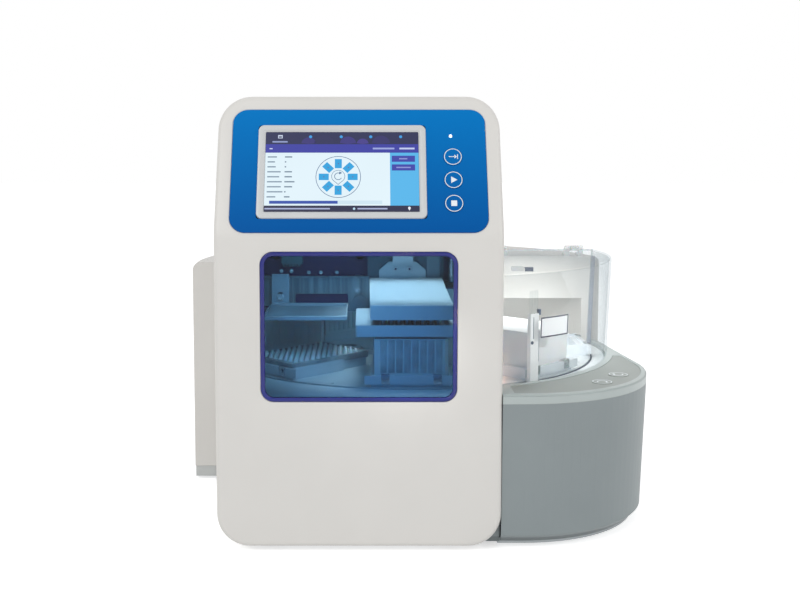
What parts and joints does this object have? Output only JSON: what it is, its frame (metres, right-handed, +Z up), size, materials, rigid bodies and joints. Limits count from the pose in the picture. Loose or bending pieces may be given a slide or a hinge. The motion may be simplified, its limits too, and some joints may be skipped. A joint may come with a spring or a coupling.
{
  "type": "nucleic acid extractor",
  "caption": "Rotary bench nucleic acid extractor: tower with leaning touchscreen, blue window, two-stage magnet lift, plate carousel and clear hinged loading cover.",
  "frame": {"origin": "centre of the bounding box at the height of the rubber feet's undersides", "axes": "+Z up, the window and screen face -Y, the loading cover is on +X"},
  "size_m": [0.566, 0.5786, 0.496],
  "materials": {
    "white_cover": "satin painted moulding",
    "grey_cover": "satin grey moulding",
    "rim_grey": "satin light grey moulding",
    "touch_film": "satin touch film",
    "clear_acrylic": "clear polished sheet",
    "window_tint": "blue tinted sheet",
    "window_edge": "violet-blue polished edge",
    "blue_film": "printed blue film",
    "frame_plastic": "light grey frame",
    "screen_glass": "lit display glass",
    "led_lens": "lit lens",
    "board_green": "solder mask",
    "black_plastic": "moulded black",
    "rubber": "matt rubber",
    "dark_chassis": "dark powder coat",
    "anodised": "satin anodised",
    "steel": "brushed",
    "motor_black": "black laminations",
    "plate_plastic": "clear polypropylene"
  },
  "bodies": {
    "machine": {"base_plate": "steel", "rubber_feet": "rubber", "base_shell": "grey_cover", "base_rim": "rim_grey", "touch_deck": "touch_film", "bay_floor": "anodised", "front_panel": "white_cover", "tower_shell": "white_cover", "tower_back": "white_cover", "rear_housing": "white_cover", "housing_foot": "grey_cover", "cover_hinge": "steel", "window_pane": "window_tint", "window_edging": "window_edge", "console_panel": "blue_film", "screen_frame": "frame_plastic", "touchscreen": "screen_glass", "status_led": "led_lens", "console_board": "board_green", "chassis_plate": "dark_chassis", "lift_rails": "steel", "lift_motor": "motor_black", "tray_beam": "anodised", "bearing_block": "anodised", "drive_belt": "rubber", "carousel_motor": "motor_black", "power_supply": "steel", "cooling_fan": "black_plastic", "power_inlet": "black_plastic", "usb_port": "steel", "bay_post": "frame_plastic"},
    "carousel": {"carousel_disc": "anodised", "plate_nests": "anodised", "plate_clips": "steel", "deep_plates": "plate_plastic", "elution_plate": "plate_plastic", "spindle": "steel", "driven_pulley": "anodised"},
    "cover": {"clear_cover": "clear_acrylic", "cover_catch": "steel"},
    "sleeve_lift_unit": {"sleeve_carriage": "anodised", "sleeve_frame": "anodised", "tip_comb": "plate_plastic", "magnet_motor": "motor_black"},
    "magnet_lift_unit": {"magnet_bracket": "anodised", "magnet_head": "anodised", "magnet_rods": "steel"},
    "lift_screw": {"lift_screw": "steel"},
    "magnet_screw": {"magnet_screw": "steel"},
    "drip_tray": {"drip_tray": "steel", "tray_bracket": "anodised"},
    "tray_pulley": {"tray_pulley": "anodised"},
    "motor_pulley": {"motor_pulley": "anodised"},
    "key_upper": {"key_upper": "blue_film"},
    "key_middle": {"key_middle": "blue_film"},
    "key_lower": {"key_lower": "blue_film"},
    "deck_key_left": {"deck_key_left": "rim_grey"},
    "deck_key_right": {"deck_key_right": "rim_grey"},
    "power_switch": {"power_switch": "black_plastic"},
    "fan_rotor": {"fan_rotor": "black_plastic"}
  },
  "joints": [
    {"name": "carousel_spin", "type": "hinge", "parent": "machine", "child": "carousel", "pos_m": [-0.004, 0.01, 0.14], "axis": [0, 0, 1], "continuous": true},
    {"name": "motor_spin", "type": "hinge", "parent": "machine", "child": "motor_pulley", "pos_m": [-0.13556, -0.03788, 0.138], "axis": [0, 0, 1], "continuous": true},
    {"name": "cover_hinge", "type": "hinge", "parent": "machine", "child": "cover", "pos_m": [0.146, 0.0735, 0.301], "axis": [-1, 0, 0], "range_deg": [0, 85]},
    {"name": "sleeve_lift", "type": "slide", "parent": "machine", "child": "sleeve_lift_unit", "axis": [0, 0, 1], "range_m": [0, 0.045]},
    {"name": "lift_screw_spin", "type": "hinge", "parent": "machine", "child": "lift_screw", "pos_m": [0.056, -0.041, 0.35], "axis": [0, 0, 1], "continuous": true},
    {"name": "magnet_lift", "type": "slide", "parent": "sleeve_lift_unit", "child": "magnet_lift_unit", "axis": [0, 0, 1], "range_m": [0, 0.03]},
    {"name": "magnet_screw_spin", "type": "hinge", "parent": "sleeve_lift_unit", "child": "magnet_screw", "pos_m": [-0.004, -0.049, 0.32], "axis": [0, 0, 1], "continuous": true},
    {"name": "tray_slide", "type": "slide", "parent": "machine", "child": "drip_tray", "axis": [1, 0, 0], "range_m": [0, 0.009]},
    {"name": "tray_pulley_spin", "type": "hinge", "parent": "machine", "child": "tray_pulley", "pos_m": [-0.0626, -0.044, 0.24], "axis": [0, -1, 0], "continuous": true},
    {"name": "key_upper_press", "type": "slide", "parent": "machine", "child": "key_upper", "axis": [0, 0.9063, -0.4226], "range_m": [0, 0.0006], "stiffness_N_per_m": 900, "springref_m": -0.0005},
    {"name": "key_middle_press", "type": "slide", "parent": "machine", "child": "key_middle", "axis": [0, 0.9063, -0.4226], "range_m": [0, 0.0006], "stiffness_N_per_m": 900, "springref_m": -0.0005},
    {"name": "key_lower_press", "type": "slide", "parent": "machine", "child": "key_lower", "axis": [0, 0.9063, -0.4226], "range_m": [0, 0.0006], "stiffness_N_per_m": 900, "springref_m": -0.0005},
    {"name": "deck_key_left_press", "type": "slide", "parent": "machine", "child": "deck_key_left", "axis": [0, 0, -1], "range_m": [0, 0.0006], "stiffness_N_per_m": 900, "springref_m": -0.0005},
    {"name": "deck_key_right_press", "type": "slide", "parent": "machine", "child": "deck_key_right", "axis": [0, 0, -1], "range_m": [0, 0.0006], "stiffness_N_per_m": 900, "springref_m": -0.0005},
    {"name": "power_switch_rock", "type": "hinge", "parent": "machine", "child": "power_switch", "pos_m": [-0.17457, 0.22443, 0.06], "axis": [-0.7826, -0.6225, 0], "range_deg": [0, 24]},
    {"name": "fan_spin", "type": "hinge", "parent": "machine", "child": "fan_rotor", "pos_m": [-0.123, -0.023, 0.4], "axis": [0, 1, 0], "continuous": true}
  ],
  "couplings": [
    {"joint": "motor_spin", "follows": "carousel_spin", "ratio": 5},
    {"joint": "lift_screw_spin", "follows": "sleeve_lift", "rad_per_m": 628.32},
    {"joint": "magnet_screw_spin", "follows": "magnet_lift", "rad_per_m": 628.32},
    {"joint": "tray_pulley_spin", "follows": "tray_slide", "rad_per_m": 119.05}
  ]
}
